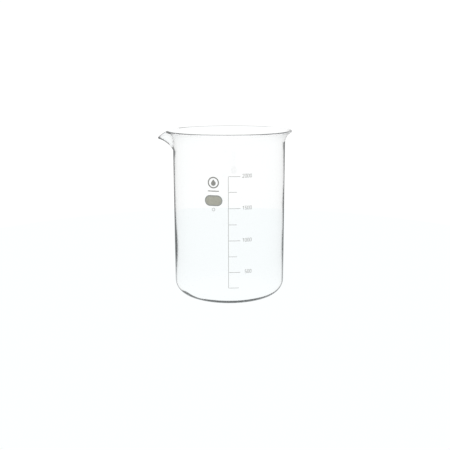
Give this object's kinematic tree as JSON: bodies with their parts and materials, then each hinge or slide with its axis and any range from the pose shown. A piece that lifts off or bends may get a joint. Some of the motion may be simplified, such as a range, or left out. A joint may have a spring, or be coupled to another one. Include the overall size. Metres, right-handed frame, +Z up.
{
  "type": "laboratory beaker",
  "caption": "Low-form laboratory beaker of clear borosilicate glass with a flared beaded rim, a pouring spout, a printed volume scale and a marking patch.",
  "frame": {"origin": "centre of the flat base, on the surface that the beaker stands on", "axes": "+Z up along the vessel's axis; the printed side faces -Y; the spout points 10 degrees behind -X, to the left of the print"},
  "size_m": [0.162, 0.1508, 0.2005],
  "materials": {
    "borosilicate_glass": "clear, fire-polished",
    "print_enamel": "fired-on enamel print, satin",
    "patch_enamel": "fired-on enamel patch that takes pencil, matt"
  },
  "bodies": {
    "root": {"glass_vessel": "borosilicate_glass", "scale_spine": "print_enamel", "scale_line_0250_ml": "print_enamel", "scale_line_0500_ml": "print_enamel", "scale_line_0750_ml": "print_enamel", "scale_line_1000_ml": "print_enamel", "scale_line_1250_ml": "print_enamel", "scale_line_1500_ml": "print_enamel", "scale_line_1750_ml": "print_enamel", "scale_line_2000_ml": "print_enamel", "numeral_0500_digit_1": "print_enamel", "numeral_0500_digit_2": "print_enamel", "numeral_0500_digit_3": "print_enamel", "numeral_1000_digit_1": "print_enamel", "numeral_1000_digit_2": "print_enamel", "numeral_1000_digit_3": "print_enamel", "numeral_1000_digit_4": "print_enamel", "numeral_1500_digit_1": "print_enamel", "numeral_1500_digit_2": "print_enamel", "numeral_1500_digit_3": "print_enamel", "numeral_1500_digit_4": "print_enamel", "numeral_2000_digit_1": "print_enamel", "numeral_2000_digit_2": "print_enamel", "numeral_2000_digit_3": "print_enamel", "numeral_2000_digit_4": "print_enamel", "marking_patch": "patch_enamel", "badge_ring": "print_enamel", "badge_drop": "print_enamel", "badge_rule": "print_enamel", "small_ring_mark": "print_enamel"}
  },
  "joints": []
}
